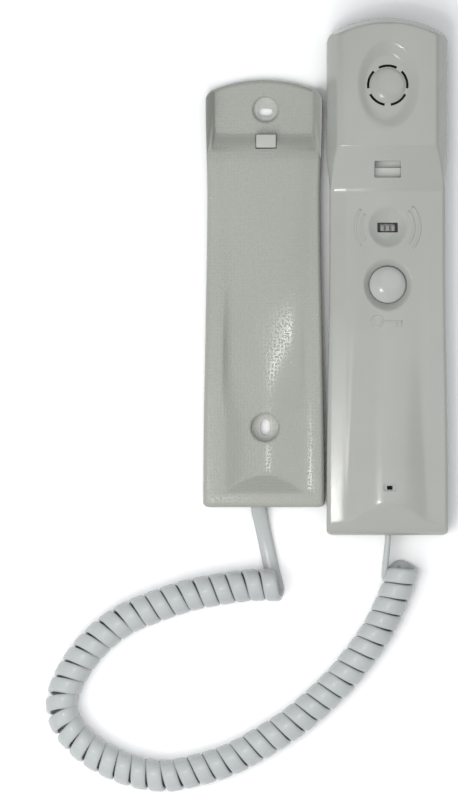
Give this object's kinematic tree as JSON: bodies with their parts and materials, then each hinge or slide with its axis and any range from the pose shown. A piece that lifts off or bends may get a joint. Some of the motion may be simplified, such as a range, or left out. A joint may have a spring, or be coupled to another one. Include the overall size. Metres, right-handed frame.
{
  "type": "door entry intercom handset",
  "caption": "Wall door-entry intercom: an arched handset with earpiece, door button and volume slide lies beside its hollowed wall cradle, joined by a curly cord.",
  "frame": {"origin": "centre of the footprint of cradle and handset, on the plane both backs lie on, cords left out", "axes": "+Z out of the wall, +Y up the wall towards the earpiece end, +X from the cradle to the handset"},
  "size_m": [0.165, 0.3173, 0.0254],
  "materials": {
    "ivory_gloss": "smooth gloss",
    "grey_textured": "fine leather-grain texture",
    "tab_plastic": "satin",
    "plate_plastic": "matte",
    "button_plastic": "smooth gloss",
    "cord_jacket": "satin vinyl",
    "black_plastic": "matte",
    "circuit_board": "solder mask",
    "terminal_green": "matte",
    "zinc_steel": "zinc plated",
    "spring_steel": "bright",
    "speaker_steel": "satin",
    "ferrite": "matte",
    "cone_paper": "pressed paper",
    "foam": "foam",
    "mic_aluminium": "satin"
  },
  "bodies": {
    "cradle": {"cradle_shell": "grey_textured", "cradle_back_plate": "plate_plastic", "hook_spring": "spring_steel", "hook_switch": "black_plastic", "cradle_pcb": "circuit_board", "cradle_pcb_screws": "zinc_steel", "terminal_block": "terminal_green", "terminal_screws": "zinc_steel", "cord_clamp": "plate_plastic", "cord_clamp_screws": "zinc_steel", "curly_cord": "cord_jacket", "cradle_lead": "cord_jacket"},
    "hook_tab": {"hook_tab": "tab_plastic"},
    "cord_tail": {"handset_lead": "cord_jacket"},
    "handset": {"handset_front_shell": "ivory_gloss", "handset_back_shell": "ivory_gloss", "handset_shell_screws": "zinc_steel", "speaker_gasket": "foam", "speaker_basket": "speaker_steel", "speaker_cone": "cone_paper", "speaker_magnet": "ferrite", "microphone": "mic_aluminium", "microphone_boot": "foam", "handset_pcb": "circuit_board", "handset_pcb_screws": "zinc_steel", "door_button_spring": "spring_steel", "door_switch": "black_plastic", "volume_switch": "black_plastic"},
    "door_button": {"door_button": "button_plastic"},
    "volume_slider": {"volume_slider": "ivory_gloss"}
  },
  "joints": [
    {"name": "hook_tab_slide", "type": "slide", "parent": "cradle", "child": "hook_tab", "axis": [0, -1, 0], "range_m": [0, 0.0025], "stiffness_N_per_m": 120, "springref_m": -0.002, "deforming": ["hook_spring"]},
    {"name": "handset_turn", "type": "hinge", "parent": "cradle", "child": "cord_tail", "pos_m": [0, 0, 0.0152], "axis": [0, -1, 0], "range_deg": [0, 180]},
    {"name": "handset_seat", "type": "slide", "parent": "cord_tail", "child": "handset", "axis": [0, 1, 0], "range_m": [0, 0.0123]},
    {"name": "door_button_press", "type": "slide", "parent": "handset", "child": "door_button", "axis": [0, 0, -1], "range_m": [0, 0.0015], "stiffness_N_per_m": 300, "springref_m": -0.0015, "deforming": ["door_button_spring"]},
    {"name": "volume_slide", "type": "slide", "parent": "handset", "child": "volume_slider", "axis": [1, 0, 0], "range_m": [-0.0011, 0.0011]}
  ],
  "couplings": [
    {"joint": "handset_seat", "follows": "handset_turn", "m_per_rad": 0.0039152}
  ]
}
